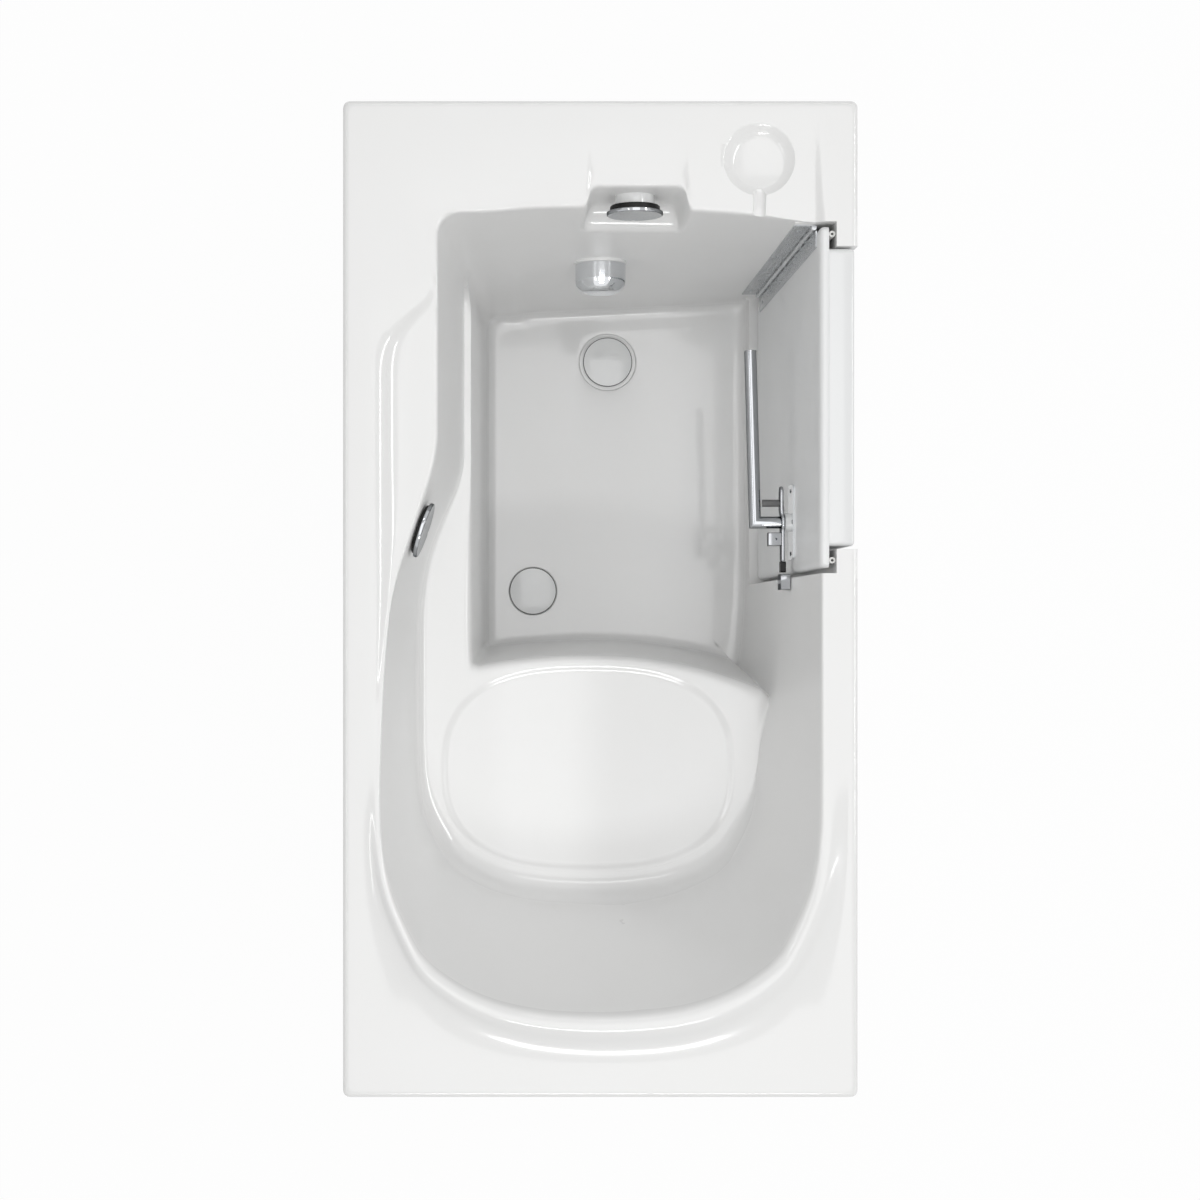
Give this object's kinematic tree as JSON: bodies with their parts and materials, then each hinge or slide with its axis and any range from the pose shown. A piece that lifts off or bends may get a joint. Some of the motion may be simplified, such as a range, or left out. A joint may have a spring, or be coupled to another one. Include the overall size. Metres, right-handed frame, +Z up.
{
  "type": "walk-in bathtub",
  "caption": "Walk-in bathtub with a moulded seat and foot well, an inward side door with lever latch, and knob-worked drains.",
  "frame": {"origin": "centre of the base on the floor, under the middle of the rim", "axes": "+Z up, +X towards the door side, +Y towards the foot end"},
  "size_m": [0.7874, 1.524, 0.9812],
  "materials": {
    "tub_gloss": "gloss",
    "apron_white": "gloss",
    "door_gloss": "gloss",
    "cap_white": "gloss",
    "seal_white": "satin",
    "stainless": "satin",
    "frame_steel": "satin",
    "board": "matte",
    "foot_plastic": "matte",
    "chrome": "mirror",
    "black_rubber": "matte",
    "waste_plastic": "matte",
    "brass": "satin"
  },
  "bodies": {
    "tub": {"tub_shell": "tub_gloss", "apron_panel": "apron_white", "service_panel": "apron_white", "hinge_leaf_tub": "stainless", "hinge_pin": "stainless", "hinge_screws_tub": "stainless", "keeper_screws": "stainless", "service_panel_screws": "stainless", "foot_lock_nuts": "stainless", "base_rails": "frame_steel", "cross_members": "frame_steel", "frame_posts": "frame_steel", "top_rails": "frame_steel", "seat_posts": "frame_steel", "seat_bearers": "frame_steel", "floor_bearers": "frame_steel", "floor_board": "board", "levelling_feet": "foot_plastic", "keeper": "chrome", "inlet_hood": "chrome", "foot_drain_body": "chrome", "side_drain_body": "chrome", "foot_knob_collar": "chrome", "side_knob_collar": "chrome", "foot_drain_cable": "black_rubber", "side_drain_cable": "black_rubber", "foot_drain_nut": "waste_plastic", "foot_drain_shoe": "waste_plastic", "foot_overflow_elbow": "waste_plastic", "foot_waste_pipes": "waste_plastic", "foot_waste_tee": "waste_plastic", "side_drain_nut": "waste_plastic", "side_drain_shoe": "waste_plastic", "side_overflow_elbow": "waste_plastic", "side_waste_pipes": "waste_plastic", "side_waste_tee": "waste_plastic", "inlet_elbow": "brass", "inlet_nut": "brass"},
    "door": {"door_inner_panel": "door_gloss", "door_outer_panel": "door_gloss", "door_core_frame": "frame_steel", "door_seal": "seal_white", "hinge_leaf_door": "stainless", "hinge_screws_door": "stainless", "latch_base_plate": "chrome", "latch_housing": "chrome", "latch_screws": "stainless"},
    "latch": {"latch_rocker": "chrome", "hook_tip": "black_rubber", "latch_lever": "chrome", "lever_end_cap": "chrome", "lever_buffer": "black_rubber", "lever_stop_block": "chrome"},
    "foot_knob": {"foot_knob": "chrome"},
    "foot_stopper": {"foot_stopper_cap": "cap_white", "foot_stopper_stem": "stainless"},
    "side_knob": {"side_knob": "chrome"},
    "side_stopper": {"side_stopper_cap": "cap_white", "side_stopper_stem": "stainless"}
  },
  "joints": [
    {"name": "door_swing", "type": "hinge", "parent": "tub", "child": "door", "pos_m": [0.3305, 0.5725, 0.6], "axis": [0, 0, 1], "range_deg": [-58, 0]},
    {"name": "latch_turn", "type": "hinge", "parent": "door", "child": "latch", "pos_m": [0.33, 0.132, 0.665], "axis": [1, 0, 0], "range_deg": [0, 90]},
    {"name": "foot_knob_turn", "type": "hinge", "parent": "tub", "child": "foot_knob", "pos_m": [0.058, 0.61, 0.885], "axis": [0, -1, 0], "range_deg": [0, 90]},
    {"name": "foot_stopper_lift", "type": "slide", "parent": "tub", "child": "foot_stopper", "axis": [0, 0, 1], "range_m": [0, 0.0101]},
    {"name": "side_knob_turn", "type": "hinge", "parent": "tub", "child": "side_knob", "pos_m": [-0.27748, 0.11039, 0.89035], "axis": [0.9445, -0.321, 0.0698], "range_deg": [0, 90]},
    {"name": "side_stopper_lift", "type": "slide", "parent": "tub", "child": "side_stopper", "axis": [0, 0, 1], "range_m": [0, 0.0101]}
  ],
  "couplings": [
    {"joint": "foot_stopper_lift", "follows": "foot_knob_turn", "m_per_rad": 0.0063662},
    {"joint": "side_stopper_lift", "follows": "side_knob_turn", "m_per_rad": 0.0063662}
  ]
}
